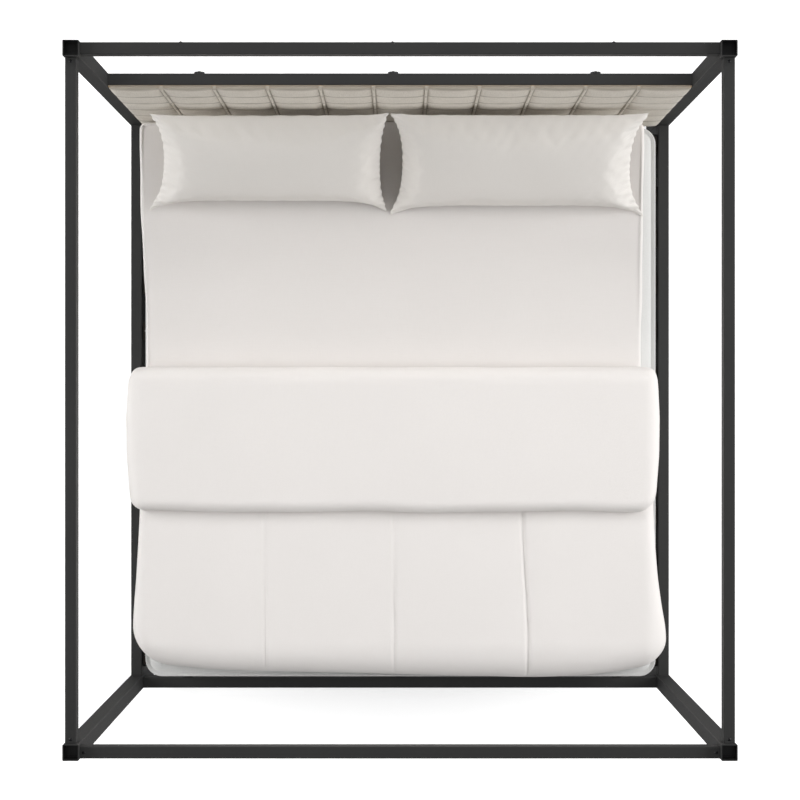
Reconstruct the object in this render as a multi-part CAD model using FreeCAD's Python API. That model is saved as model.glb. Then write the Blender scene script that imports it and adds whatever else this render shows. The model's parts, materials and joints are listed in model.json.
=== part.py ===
"""Four poster canopy bed with a square tube frame, a grid-stitched headboard and its bedding.

Millimetres. +X is the sleeper's right hand side seen from the foot, +Y points to the head
end and +Z is up. The origin is on the floor, midway between the four posts.
"""
import FreeCAD, Part
import math
import os

V = FreeCAD.Vector
X_AXIS, Y_AXIS, Z_AXIS = V(1, 0, 0), V(0, 1, 0), V(0, 0, 1)

# ---- driving dimensions ----------------------------------------------------------------
WIDTH, LENGTH, HEIGHT = 2060, 2200, 1980      # over the posts
POST, POST_WALL = 50, 2.5
PAD_THICK = 6                                 # plastic pad under each post
PLUG_DEPTH = 38                               # the top plugs sit this far down the posts

CANOPY_DROP = 25                              # post tops stand this far above the canopy rails
CANOPY_TALL = 50
CANOPY_SIDE_WIDE, CANOPY_END_WIDE = 35, 37
RAIL_WALL = 2
SIDE_INSET, END_INSET = 4, 3                  # rails sit in from the posts' outer faces
RAIL_GAP = 1                                  # between a canopy rail's end and its post

LOW_TOP, LOW_TALL, LOW_WIDE = 355, 80, 40     # the low frame that holds the deck
END_PLATE = 8
SIDE_BOLT_Z, CROSS_BOLT_Z = (292, 338), (305, 325)

SLAT_COUNT, SLAT_WIDE, SLAT_THICK = 12, 70, 18
SLAT_TOP = 330
LEDGE, LEDGE_THICK = 25, 3
BEAM = 40
LEG, LEG_Y = 30, (-680, 0, 680)
GLIDE_HIGH, GLIDE_TRAVEL = 8, 12

BOARD_COLUMNS, CELL_WIDE = 11, 178
BOARD_ROWS, CELL_TALL = 6, 157
HEADBOARD_TOP = 1342
HEADBOARD_RAIL_TOP = 1339
FASTENER_X = (-674, -23, 657)                 # rear bolts and knobs, along the width

MATTRESS_WIDE, MATTRESS_LONG, MATTRESS_THICK = 1892, 2036, 262
MATTRESS_X, MATTRESS_Y = 2, -6                # the mattress lies nearer the foot rail
QUILT = 22                                    # cover and foam border of the mattress
TOPPER_X, TOPPER_Y, TOPPER_THICK = (-963, 902), (-990, 1030), 28
CLEAR = 0.3                                   # between soft parts that only rest on each other

# ---- worked out from them --------------------------------------------------------------
POST_X, POST_Y = WIDTH / 2 - POST / 2, LENGTH / 2 - POST / 2
INNER_X, INNER_Y = WIDTH / 2 - POST, LENGTH / 2 - POST     # the posts' inner faces
SIDE_OUT, END_OUT = WIDTH / 2 - SIDE_INSET, LENGTH / 2 - END_INSET
CANOPY_TOP = HEIGHT - CANOPY_DROP
CANOPY_MID = CANOPY_TOP - CANOPY_TALL / 2
DECK_IN = SIDE_OUT - LOW_WIDE                              # side rails' inner faces
SLAT_LOW = SLAT_TOP - SLAT_THICK
BEAM_LOW = SLAT_LOW - BEAM
HEAD_RAIL_OUT = LENGTH / 2 - 4
HEAD_RAIL_IN = HEAD_RAIL_OUT - LOW_WIDE
FOOT_RAIL_IN = END_OUT - LOW_WIDE
MATTRESS_LOW = SLAT_TOP + CLEAR
MATTRESS_TOP = MATTRESS_LOW + MATTRESS_THICK
HEADBOARD_LOW = HEADBOARD_TOP - BOARD_ROWS * CELL_TALL
HEADBOARD_HALF = BOARD_COLUMNS * CELL_WIDE / 2
TABS_HOLE_Z = 455
HEADBOARD_HOLE_Z = HEADBOARD_RAIL_TOP - LOW_WIDE / 2

os.makedirs("parts", exist_ok=True)


def save(name, solids):
    """Write one node from a solid or a list of separate solids."""
    shape = Part.makeCompound(solids) if isinstance(solids, list) else solids
    shape.exportStep("parts/" + name + ".step")


# ---- plain shapes ----------------------------------------------------------------------
def block(low, high):
    """A box between two opposite corners."""
    low, high = V(*low), V(*high)
    size = high - low
    return Part.makeBox(size.x, size.y, size.z, low)


def rounded_block(low, high, axis, radius):
    """A box whose four edges along one axis are rounded."""
    box = block(low, high)
    edges = [e for e in box.Edges if abs(abs(e.tangentAt(0).dot(axis)) - 1) < 1e-6]
    return box.makeFillet(radius, edges)


def tube(low, high, axis, wall, radius=3):
    """A rectangular tube along an axis, open at both ends, with rounded corners."""
    outer = rounded_block(low, high, axis, radius)
    inset = V(wall, wall, wall) - axis * (wall + 1)
    inner_low, inner_high = V(*low) + inset, V(*high) - inset
    inner = rounded_block(tuple(inner_low), tuple(inner_high), axis, max(radius - wall, 0.5))
    return outer.cut(inner)


def rod(start, axis, radius, length):
    """A round bar from a point along an axis."""
    return Part.makeCylinder(radius, length, V(*start), axis)


def turned(profile, start, axis):
    """A solid of revolution: (radius, distance along the axis) points, placed at start."""
    points = [V(r, 0, h) for r, h in profile]
    points += [V(0, 0, profile[-1][1]), V(0, 0, profile[0][1]), points[0]]
    face = Part.Face(Part.makePolygon(points))
    solid = face.revolve(V(0, 0, 0), Z_AXIS, 360)
    solid.Placement = FreeCAD.Placement(V(*start), FreeCAD.Rotation(Z_AXIS, axis))
    return solid


def domed_screw(seat, axis, shank_r, length, head_r, head_high, washer=0):
    """A round headed screw. It points along axis from its seat; the head is behind the seat."""
    back = -1 * axis
    screw = rod(seat, axis, shank_r, length)
    sphere_r = (head_r ** 2 + head_high ** 2) / (2 * head_high)
    dome_seat = V(*seat) + back * washer
    dome = Part.makeSphere(sphere_r, dome_seat + back * (head_high - sphere_r))
    half_space = Part.makeCylinder(3 * sphere_r, 3 * sphere_r, dome_seat, back)
    screw = screw.fuse(dome.common(half_space))
    if washer:
        screw = screw.fuse(Part.makeCylinder(head_r + 1.5, washer, V(*seat), back))
    socket = Part.makeCylinder(head_r * 0.42, head_high * 0.6, dome_seat + back * head_high * 0.45, back)
    return screw.cut(socket).removeSplitter()


def drilled(solid, holes):
    """Cut round holes, each (start, axis, radius, length), out of a solid."""
    for start, axis, radius, length in holes:
        solid = solid.cut(rod(start, axis, radius, length))
    return solid


# ---- posts -----------------------------------------------------------------------------
M8_HOLE = 4.25


def post(side, end):
    """One corner post; side is -1 left or 1 right, end is -1 foot or 1 head."""
    cx, cy = side * POST_X, end * POST_Y
    half = POST / 2
    solid = tube((cx - half, cy - half, PAD_THICK), (cx + half, cy + half, HEIGHT), Z_AXIS, POST_WALL)
    side_bolt_x = side * (SIDE_OUT - LOW_WIDE / 2)
    cross_bolt_y = end * (cross_rail_span(end)[1] - LOW_WIDE / 2)
    holes = [((side_bolt_x, cy - POST, z), Y_AXIS, M8_HOLE, 2 * POST) for z in SIDE_BOLT_Z]
    holes += [((cx - POST, cross_bolt_y, z), X_AXIS, M8_HOLE, 2 * POST) for z in CROSS_BOLT_Z]
    if end > 0:
        holes.append(((cx - POST, cross_bolt_y, HEADBOARD_HOLE_Z), X_AXIS, M8_HOLE, 2 * POST))
    return drilled(solid, holes)


def cross_rail_span(end):
    """Distances from the middle to the inner and outer faces of the low cross rail."""
    return (HEAD_RAIL_IN, HEAD_RAIL_OUT) if end > 0 else (FOOT_RAIL_IN, END_OUT)


def top_plug(side, end):
    """A plastic plug inside the top of a post, with a shallow dish in its top."""
    half, deep = POST / 2 - POST_WALL, 22
    cx, cy, top = side * POST_X, end * POST_Y, HEIGHT - PLUG_DEPTH
    plug = rounded_block((cx - half, cy - half, top - deep), (cx + half, cy + half, top), Z_AXIS, 0.5)
    dish = block((cx - half + 4, cy - half + 4, top - 3), (cx + half - 4, cy + half - 4, top + 1))
    return plug.cut(dish)


def foot_pad(side, end):
    """A pad under a post with a hollow plug that goes up inside the tube."""
    half = POST / 2
    cx, cy = side * POST_X, end * POST_Y
    pad = rounded_block((cx - half, cy - half, 0), (cx + half, cy + half, PAD_THICK), Z_AXIS, 3)
    pad = pad.makeChamfer(1, [e for e in pad.Edges if e.BoundBox.ZMax < 0.01])
    inner = half - POST_WALL
    plug = rounded_block((cx - inner, cy - inner, PAD_THICK), (cx + inner, cy + inner, 34), Z_AXIS, 0.5)
    hollow = block((cx - inner + 4, cy - inner + 4, PAD_THICK), (cx + inner - 4, cy + inner - 4, 40))
    return pad.fuse(plug.cut(hollow))


# ---- canopy ----------------------------------------------------------------------------
SOCKET_LONG, SOCKET_WALL = 60, 2.5
SCREW_FROM_POST = 12
M6 = 3


def canopy_side_rail(side):
    """A long canopy rail, screwed from above near each end."""
    x_in, x_out = side * (SIDE_OUT - CANOPY_SIDE_WIDE), side * SIDE_OUT
    reach = INNER_Y - RAIL_GAP
    solid = tube((min(x_in, x_out), -reach, CANOPY_TOP - CANOPY_TALL),
                 (max(x_in, x_out), reach, CANOPY_TOP), Y_AXIS, RAIL_WALL)
    middle = (x_in + x_out) / 2
    holes = [((middle, end * (INNER_Y - SCREW_FROM_POST), CANOPY_TOP - 5), Z_AXIS, M6 + 0.2, 10)
             for end in (-1, 1)]
    return drilled(solid, holes)


def canopy_end_rail(end):
    """A canopy cross rail; the foot one is screwed from above, the head one from behind."""
    y_in, y_out = end * (END_OUT - CANOPY_END_WIDE), end * END_OUT
    reach = INNER_X - RAIL_GAP
    solid = tube((-reach, min(y_in, y_out), CANOPY_TOP - CANOPY_TALL),
                 (reach, max(y_in, y_out), CANOPY_TOP), X_AXIS, RAIL_WALL)
    holes = []
    for side in (-1, 1):
        x = side * (INNER_X - SCREW_FROM_POST)
        if end > 0:
            holes.append(((x, y_out - 5, CANOPY_MID), Y_AXIS, M6 + 0.2, 10))
        else:
            holes.append(((x, (y_in + y_out) / 2, CANOPY_TOP - 5), Z_AXIS, M6 + 0.2, 10))
    if end > 0:
        holes += [((x, y_out - 5, CANOPY_MID), Y_AXIS, M8_HOLE, 10) for x in FASTENER_X]
    return drilled(solid, holes)


def canopy_sockets():
    """Short tubes on the posts' inner faces, one inside each canopy rail end."""
    fit = RAIL_WALL + 0.5
    low, high = CANOPY_TOP - CANOPY_TALL + fit, CANOPY_TOP - fit
    solids = []
    for side in (-1, 1):
        for end in (-1, 1):
            xs = sorted((side * (SIDE_OUT - fit), side * (SIDE_OUT - CANOPY_SIDE_WIDE + fit)))
            ys = sorted((end * INNER_Y, end * (INNER_Y - SOCKET_LONG)))
            along_y = tube((xs[0], ys[0], low), (xs[1], ys[1], high), Y_AXIS, SOCKET_WALL)
            top_hole = (sum(xs) / 2, end * (INNER_Y - SCREW_FROM_POST), high - 10)
            solids.append(drilled(along_y, [(top_hole, Z_AXIS, M6 + 0.2, 20)]))
            ys = sorted((end * (END_OUT - fit), end * (END_OUT - CANOPY_END_WIDE + fit)))
            xs = sorted((side * INNER_X, side * (INNER_X - SOCKET_LONG)))
            along_x = tube((xs[0], ys[0], low), (xs[1], ys[1], high), X_AXIS, SOCKET_WALL)
            x = side * (INNER_X - SCREW_FROM_POST)
            if end > 0:
                hole = ((x, ys[1] - 10, CANOPY_MID), Y_AXIS, M6 + 0.2, 20)
            else:
                hole = ((x, sum(ys) / 2, high - 10), Z_AXIS, M6 + 0.2, 20)
            solids.append(drilled(along_x, [hole]))
    return solids


def canopy_corner_screws():
    """Button head screws: from above in the side and foot rails, from behind in the head rail."""
    down, forward = -1 * Z_AXIS, -1 * Y_AXIS
    solids = []
    for side in (-1, 1):
        rail_x = side * (SIDE_OUT - CANOPY_SIDE_WIDE / 2)
        across = side * (INNER_X - SCREW_FROM_POST)
        for end in (-1, 1):
            seat = (rail_x, end * (INNER_Y - SCREW_FROM_POST), CANOPY_TOP)
            solids.append(domed_screw(seat, down, M6, 14, 5.2, 2.4))
        solids.append(domed_screw((across, END_OUT, CANOPY_MID), forward, M6, 14, 5.2, 2.4))
        solids.append(domed_screw((across, -END_OUT + CANOPY_END_WIDE / 2, CANOPY_TOP), down,
                                  M6, 14, 5.2, 2.4))
    return solids


def canopy_head_bolts():
    """Three tall domed bolts on the back of the canopy head rail."""
    return [domed_screw((x, END_OUT, CANOPY_MID), -1 * Y_AXIS, 4, 20, 5.35, 4.6, washer=2)
            for x in FASTENER_X]


# ---- low frame -------------------------------------------------------------------------
def low_side_rail(side):
    """A side rail with an end plate welded in each end, tapped for two bolts."""
    xs = sorted((side * SIDE_OUT, side * DECK_IN))
    low, high = (xs[0], -INNER_Y, LOW_TOP - LOW_TALL), (xs[1], INNER_Y, LOW_TOP)
    solid = tube(low, high, Y_AXIS, RAIL_WALL)
    fit = RAIL_WALL - 0.2
    for end in (-1, 1):
        ys = sorted((end * INNER_Y, end * (INNER_Y - END_PLATE)))
        plate = rounded_block((xs[0] + fit, ys[0], low[2] + fit), (xs[1] - fit, ys[1], high[2] - fit),
                              Y_AXIS, 1)
        solid = solid.fuse(plate)
    middle = sum(xs) / 2
    holes = [((middle, end * INNER_Y - 15, z), Y_AXIS, 4.05, 30) for end in (-1, 1) for z in SIDE_BOLT_Z]
    return drilled(solid, holes)


def cross_rail(y_in, y_out, top, tall, bolt_z, extra_holes=()):
    """A rail across the bed between the posts, with tapped end plates welded in."""
    ys = sorted((y_in, y_out))
    low, high = (-INNER_X, ys[0], top - tall), (INNER_X, ys[1], top)
    solid = tube(low, high, X_AXIS, RAIL_WALL)
    fit = RAIL_WALL - 0.2
    for side in (-1, 1):
        xs = sorted((side * INNER_X, side * (INNER_X - END_PLATE)))
        plate = rounded_block((xs[0], ys[0] + fit, low[2] + fit), (xs[1], ys[1] - fit, high[2] - fit),
                              X_AXIS, 1)
        solid = solid.fuse(plate)
    middle = sum(ys) / 2
    holes = [((side * INNER_X - 15, middle, z), X_AXIS, 4.05, 30) for side in (-1, 1) for z in bolt_z]
    return drilled(solid, holes + list(extra_holes))


HEAD_WASHER, HEAD_R, HEAD_HIGH = 1.6, 7, 4.9


def rail_bolts():
    """Bolts through the posts: two into each end of each low rail, one into the headboard rail."""
    shank = POST + END_PLATE
    solids = []
    for side in (-1, 1):
        for end in (-1, 1):
            outward_y, outward_x = Y_AXIS * end, X_AXIS * side
            for z in SIDE_BOLT_Z:
                seat = (side * (SIDE_OUT - LOW_WIDE / 2), end * LENGTH / 2, z)
                solids.append(domed_screw(seat, -1 * outward_y, 4, shank, HEAD_R, HEAD_HIGH, HEAD_WASHER))
            cross_y = end * (cross_rail_span(end)[1] - LOW_WIDE / 2)
            heights = CROSS_BOLT_Z + ((HEADBOARD_HOLE_Z,) if end > 0 else ())
            for z in heights:
                seat = (side * WIDTH / 2, cross_y, z)
                solids.append(domed_screw(seat, -1 * outward_x, 4, shank, HEAD_R, HEAD_HIGH, HEAD_WASHER))
    return solids


def mattress_bumpers():
    """Rubber pads on the rails' inner faces that stop the mattress from sliding about."""
    long, thick, tall = 36, 6, 20
    solids = []
    for x in (-809, 827):
        solids.append(rounded_block((x - long / 2, -FOOT_RAIL_IN, LOW_TOP - tall - 4),
                                    (x + long / 2, -FOOT_RAIL_IN + thick, LOW_TOP - 4), Y_AXIS, 3))
    for side in (-1, 1):
        xs = sorted((side * DECK_IN, side * (DECK_IN - thick)))
        solids.append(rounded_block((xs[0], 832 - long / 2, LOW_TOP - tall - 4),
                                    (xs[1], 832 + long / 2, LOW_TOP - 4), X_AXIS, 3))
    return solids


# ---- deck ------------------------------------------------------------------------------
SLAT_HALF = DECK_IN - 4
SLAT_REACH = INNER_Y - 75
SLAT_Y = [-SLAT_REACH + i * 2 * SLAT_REACH / (SLAT_COUNT - 1) for i in range(SLAT_COUNT)]
SLAT_SCREW_X = DECK_IN - 14
M5 = 2.5


def slat_ledge(side):
    """A steel angle along a side rail's inner face; the slats' ends lie on its flange."""
    reach = INNER_Y - 30
    deep = SLAT_LOW - LEDGE
    near, far = side * DECK_IN, side * (DECK_IN - LEDGE)
    xs = sorted((near, far))
    flange = block((xs[0], -reach, SLAT_LOW - LEDGE_THICK), (xs[1], reach, SLAT_LOW))
    xs = sorted((near, side * (DECK_IN - LEDGE_THICK)))
    web = block((xs[0], -reach, deep), (xs[1], reach, SLAT_LOW))
    holes = [((side * SLAT_SCREW_X, y, SLAT_LOW - 10), Z_AXIS, M5, 20) for y in SLAT_Y]
    return drilled(flange.fuse(web).removeSplitter(), holes)


def slat(y):
    """A wooden slat with eased edges and a clearance hole at each end."""
    low = (-SLAT_HALF, y - SLAT_WIDE / 2, SLAT_LOW)
    high = (SLAT_HALF, y + SLAT_WIDE / 2, SLAT_TOP)
    solid = rounded_block(low, high, X_AXIS, 4)
    for side in (-1, 1):
        x = side * SLAT_SCREW_X
        solid = solid.cut(rod((x, y, SLAT_LOW - 1), Z_AXIS, M5 + 0.2, SLAT_THICK + 2))
        sink = Part.makeCone(M5 + 0.2, 5.2, 3, V(x, y, SLAT_TOP - 3), Z_AXIS)
        solid = solid.cut(sink)
    return solid


def slat_screw(x, y):
    """A countersunk screw through a slat's end into the ledge."""
    profile = [(0.5, -5), (M5, -2), (M5, SLAT_THICK - 2.7), (4.9, SLAT_THICK - 0.2)]
    screw = turned(profile, (x, y, SLAT_LOW), Z_AXIS)
    recess = rod((x, y, SLAT_TOP - 1.8), Z_AXIS, 1.6, 3)
    return screw.cut(recess)


def centre_beam():
    """A square tube under the slats from the foot rail to the head rail."""
    half = BEAM / 2
    solid = tube((-half, -FOOT_RAIL_IN + 3, BEAM_LOW), (half, HEAD_RAIL_IN - 3, SLAT_LOW), Y_AXIS, RAIL_WALL)
    holes = [((x, leg_y + dy, BEAM_LOW - 5), Z_AXIS, M5, 10) for leg_y in LEG_Y for x, dy in LEG_SCREWS]
    return drilled(solid, holes)


def beam_hanger(end):
    """A folded steel saddle on a cross rail's inner face that holds one end of the beam."""
    face = -FOOT_RAIL_IN if end < 0 else HEAD_RAIL_IN
    inward = -end
    half, deep, thick = BEAM / 2, 45, 3
    ys = sorted((face, face + inward * deep))
    low_z, top_z = BEAM_LOW - thick, SLAT_LOW - 4
    outer = block((-half - thick, ys[0], low_z), (half + thick, ys[1], top_z))
    pocket_ys = sorted((face + inward * thick, face + inward * (deep + 1)))
    pocket = block((-half, pocket_ys[0], BEAM_LOW), (half, pocket_ys[1], top_z + 1))
    return outer.cut(pocket)


LEG_PLATE = 4
INSERT_FLANGE, INSERT_TALL = 2, 22
INSERT_LOW = GLIDE_HIGH + GLIDE_TRAVEL + INSERT_FLANGE + 0.5
LEG_SCREWS = [(x, dy) for x in (-14, 14) for dy in (-24, 24)]


def centre_leg(y):
    """A square leg with a top plate that screws to the beam."""
    half = LEG / 2
    plate_low = BEAM_LOW - LEG_PLATE
    leg = tube((-half, y - half, INSERT_LOW), (half, y + half, plate_low), Z_AXIS, 2)
    plate = rounded_block((-20, y - 34, plate_low), (20, y + 34, BEAM_LOW), Z_AXIS, 5)
    holes = [((x, y + dy, plate_low - 5), Z_AXIS, M5 + 0.2, 20) for x, dy in LEG_SCREWS]
    return drilled(leg.fuse(plate), holes)


def leg_screws():
    """Four short screws up through each leg's plate into the beam."""
    low = BEAM_LOW - LEG_PLATE
    return [domed_screw((x, y + dy, low), Z_AXIS, M5 - 0.05, 9, 4.6, 2.4)
            for y in LEG_Y for x, dy in LEG_SCREWS]


def leg_insert(y):
    """A threaded plastic plug in a leg's lower end."""
    half = LEG / 2 - 2
    lip = LEG / 2
    plug = rounded_block((-half, y - half, INSERT_LOW), (half, y + half, INSERT_LOW + INSERT_TALL), Z_AXIS, 1.2)
    flange = rounded_block((-lip, y - lip, INSERT_LOW - INSERT_FLANGE), (lip, y + lip, INSERT_LOW), Z_AXIS, 3)
    return plug.fuse(flange).cut(rod((0, y, 0), Z_AXIS, 4.05, 80))


GLIDE_STUD_TOP = 48


def leg_glide(y):
    """A round glide on a threaded stud; it screws up into the leg by its travel."""
    profile = [(15.5, 0), (17, 1.5), (17, 5), (13, GLIDE_HIGH - 1), (6, GLIDE_HIGH), (4, GLIDE_HIGH),
               (4, GLIDE_STUD_TOP - 1), (3, GLIDE_STUD_TOP)]
    return turned(profile, (0, y, 0), Z_AXIS)


# ---- headboard -------------------------------------------------------------------------
BOARD_BACK = HEAD_RAIL_IN
CLOTH = 0.5
BOARD_THICK, FOAM_THICK, COVER_THICK = 6.5, 11, 1
BOARD_FRONT = BOARD_BACK - CLOTH - BOARD_THICK
FOAM_FRONT = BOARD_FRONT - FOAM_THICK
COVER_FRONT = FOAM_FRONT - COVER_THICK
RETURN_WIDE = 38                              # the cover's turned-back edge on the board's back
NUT_R, KNOB_STUD_R = 6, 3
NUT_PLACES = [(x, z) for x in FASTENER_X for z in (HEADBOARD_HOLE_Z, TABS_HOLE_Z)]
PANEL_LOW = (-HEADBOARD_HALF + 1, HEADBOARD_LOW)
PANEL_HIGH = (HEADBOARD_HALF - 1, HEADBOARD_TOP)


def panel_block(inset, y_front, y_back):
    """A slab of the headboard's outline, drawn in by an inset on its four edges."""
    return block((PANEL_LOW[0] + inset, y_front, PANEL_LOW[1] + inset),
                 (PANEL_HIGH[0] - inset, y_back, PANEL_HIGH[1] - inset))


def headboard_board():
    """Plywood with a hole for each threaded insert."""
    board = panel_block(COVER_THICK, BOARD_FRONT, BOARD_FRONT + BOARD_THICK)
    return drilled(board, [((x, BOARD_FRONT - 1, z), Y_AXIS, NUT_R, BOARD_THICK + 2) for x, z in NUT_PLACES])


def headboard_cover():
    """Linen over the foam and the edges, turned back on the board behind."""
    skin = panel_block(0, COVER_FRONT, BOARD_BACK)
    skin = skin.cut(panel_block(COVER_THICK, FOAM_FRONT, BOARD_FRONT + BOARD_THICK))
    skin = skin.cut(panel_block(RETURN_WIDE, BOARD_FRONT, BOARD_BACK + 1))
    return drilled(skin, [((x, BOARD_FRONT + 1, HEADBOARD_HOLE_Z), Y_AXIS, NUT_R, BOARD_THICK + 2)
                          for x in FASTENER_X])


def headboard_back_cloth():
    """Thin cloth over the board's back, inside the turned-back edge."""
    cloth = panel_block(RETURN_WIDE, BOARD_BACK - CLOTH, BOARD_BACK)
    return drilled(cloth, [((x, BOARD_BACK - 2, z), Y_AXIS, NUT_R, 4) for x, z in NUT_PLACES
                           if PANEL_LOW[1] + RETURN_WIDE + NUT_R < z < PANEL_HIGH[1] - RETURN_WIDE - NUT_R])


def headboard_nuts():
    """Threaded inserts in the plywood."""
    bore = KNOB_STUD_R + 0.05
    return [rod((x, BOARD_FRONT, z), Y_AXIS, NUT_R, BOARD_THICK).cut(
        rod((x, BOARD_FRONT - 1, z), Y_AXIS, bore, BOARD_THICK + 2)) for x, z in NUT_PLACES]


def headboard_knob(x):
    """A fluted hand knob on a stud that goes through the rail into the board.

    Its tip stands as far behind the bed as the rail bolts' heads stand in front of it.
    """
    radius, thick, dome_r, dome_high = 17.5, 6.7, 6, 2.895
    seat_y = HEAD_RAIL_OUT + CLEAR
    knob = rod((x, seat_y, HEADBOARD_HOLE_Z), Y_AXIS, radius, thick)
    for i in range(8):
        angle = math.radians(22.5 + 45 * i)
        flute = (x + (radius + 2.5) * math.cos(angle), seat_y - 1,
                 HEADBOARD_HOLE_Z + (radius + 2.5) * math.sin(angle))
        knob = knob.cut(rod(flute, Y_AXIS, 4.5, thick + 2))
    face = seat_y + thick
    knob = knob.fuse(rod((x, face - 1, HEADBOARD_HOLE_Z), Y_AXIS, dome_r, dome_high + 1 - 1.5))
    knob = knob.fuse(rod((x, face, HEADBOARD_HOLE_Z), Y_AXIS, dome_r - 1.5, dome_high))
    stud_from = BOARD_FRONT + 0.5
    return knob.fuse(rod((x, stud_from, HEADBOARD_HOLE_Z), Y_AXIS, KNOB_STUD_R, seat_y + 1 - stud_from))


TAB_THICK, TAB_WIDE = 5, 60
TAB_TOP = TABS_HOLE_Z + 25


def headboard_tab(x):
    """A steel tab welded on top of the head rail, behind the headboard."""
    tab = rounded_block((x - TAB_WIDE / 2, BOARD_BACK + 0.5, LOW_TOP - 20),
                        (x + TAB_WIDE / 2, BOARD_BACK + 0.5 + TAB_THICK, TAB_TOP), Y_AXIS, 8)
    tab = tab.common(block((x - TAB_WIDE, BOARD_BACK, LOW_TOP), (x + TAB_WIDE, BOARD_BACK + 20, TAB_TOP)))
    return tab.cut(rod((x, BOARD_BACK - 1, TABS_HOLE_Z), Y_AXIS, KNOB_STUD_R + 0.2, 20))


def headboard_tab_bolt(x):
    seat = (x, BOARD_BACK + 0.5 + TAB_THICK, TABS_HOLE_Z)
    return domed_screw(seat, -1 * Y_AXIS, KNOB_STUD_R, TAB_THICK + 0.5 + BOARD_THICK, 5.5, 3.3, washer=1.5)


# ---- bedding ---------------------------------------------------------------------------
def soft_block(low, high, plan_radius, edge_radius):
    """A block with rounded plan corners and softened top and bottom edges."""
    solid = rounded_block(low, high, Z_AXIS, plan_radius)
    edges = [e for e in solid.Edges if e.BoundBox.ZLength < 0.01]
    return solid.makeFillet(edge_radius, edges)


def soft_shell(low, high, plan_radius, edge_radius, skin):
    """The same block as a closed skin with nothing inside."""
    inner_low = [a + skin for a in low]
    inner_high = [a - skin for a in high]
    outer = soft_block(low, high, plan_radius, edge_radius)
    inner_edge = max(edge_radius - skin, 1)
    return outer.cut(soft_block(inner_low, inner_high, plan_radius - skin, inner_edge))


MATTRESS_X0, MATTRESS_X1 = MATTRESS_X - MATTRESS_WIDE / 2, MATTRESS_X + MATTRESS_WIDE / 2
MATTRESS_Y0, MATTRESS_Y1 = MATTRESS_Y - MATTRESS_LONG / 2, MATTRESS_Y + MATTRESS_LONG / 2
TOPPER_LOW = MATTRESS_TOP + CLEAR
TOPPER_TOP = TOPPER_LOW + TOPPER_THICK
DUVET_LOW = TOPPER_TOP + CLEAR
DUVET_X, DUVET_FOOT, FOLD_FOOT, FOLD_HEAD = 982, -1025, -405, 128
DUVET_TOP, FOLD_TOP = DUVET_LOW + 58, DUVET_LOW + 112
FOLD_X = (-1002, 962)


def mattress():
    return soft_shell((MATTRESS_X0, MATTRESS_Y0, MATTRESS_LOW), (MATTRESS_X1, MATTRESS_Y1, MATTRESS_TOP),
                      62, 24, QUILT)


def topper():
    """A thin padded topper on the mattress, a closed skin with its filling left out."""
    return soft_shell((TOPPER_X[0], TOPPER_Y[0], TOPPER_LOW), (TOPPER_X[1], TOPPER_Y[1], TOPPER_TOP),
                      46, 12, 4)


def duvet():
    """A thick cover on the lower part of the bed, its head end folded back as a fat band."""
    skin = 3
    body_high = (DUVET_X, FOLD_FOOT + 60, DUVET_TOP)
    body = soft_block((-DUVET_X, DUVET_FOOT, DUVET_LOW), body_high, 120, 26)
    band = soft_block((FOLD_X[0], FOLD_FOOT, DUVET_LOW), (FOLD_X[1], FOLD_HEAD, FOLD_TOP), 90, 48)
    inner_body = soft_block((-DUVET_X + skin, DUVET_FOOT + skin, DUVET_LOW + skin),
                            (DUVET_X - skin, FOLD_FOOT + 60 - skin, DUVET_TOP - skin), 117, 23)
    inner_band = soft_block((FOLD_X[0] + skin, FOLD_FOOT + skin, DUVET_LOW + skin),
                            (FOLD_X[1] - skin, FOLD_HEAD - skin, FOLD_TOP - skin), 87, 45)
    return body.fuse(band).cut(inner_body.fuse(inner_band))


PILLOW_FRONT, PILLOW_BACK = (700, 645), (1006, 985)        # (y, z) of the two long seams
PILLOW_HALF_THICK, PILLOW_EDGE = 72, 10


def pillow_outline(skin):
    """Side view of a pillow: two arcs between blunt seams, drawn in by a skin thickness."""
    y0, z0 = PILLOW_FRONT
    y1, z1 = PILLOW_BACK
    along = V(0, y1 - y0, z1 - z0)
    long = along.Length
    along.normalize()
    across = V(0, -along.z, along.y)
    edge = PILLOW_EDGE - skin / 2
    start = V(0, y0, z0) + along * skin
    stop = V(0, y1, z1) - along * skin
    middle = V(0, y0, z0) + along * (long / 2)
    bulge = PILLOW_HALF_THICK - skin
    upper = Part.Arc(start + across * edge, middle + across * bulge, stop + across * edge)
    lower = Part.Arc(stop - across * edge, middle - across * bulge, start - across * edge)
    edges = [upper.toShape(), Part.LineSegment(stop + across * edge, stop - across * edge).toShape(),
             lower.toShape(), Part.LineSegment(start - across * edge, start + across * edge).toShape()]
    return Part.Face(Part.Wire(edges))


def pillow(x0, x1):
    """A pillow that leans on the headboard, a closed skin with its filling left out."""
    skin = 4
    outer = pillow_outline(0).extrude(V(x1 - x0, 0, 0))
    outer.translate(V(x0, 0, 0))
    inner = pillow_outline(skin).extrude(V(x1 - x0 - 2 * skin, 0, 0))
    inner.translate(V(x0 + skin, 0, 0))
    solid = outer.cut(inner)
    solid.translate(V(0, 0, TOPPER_TOP + 0.5 - solid.BoundBox.ZMin))
    return solid


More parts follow.
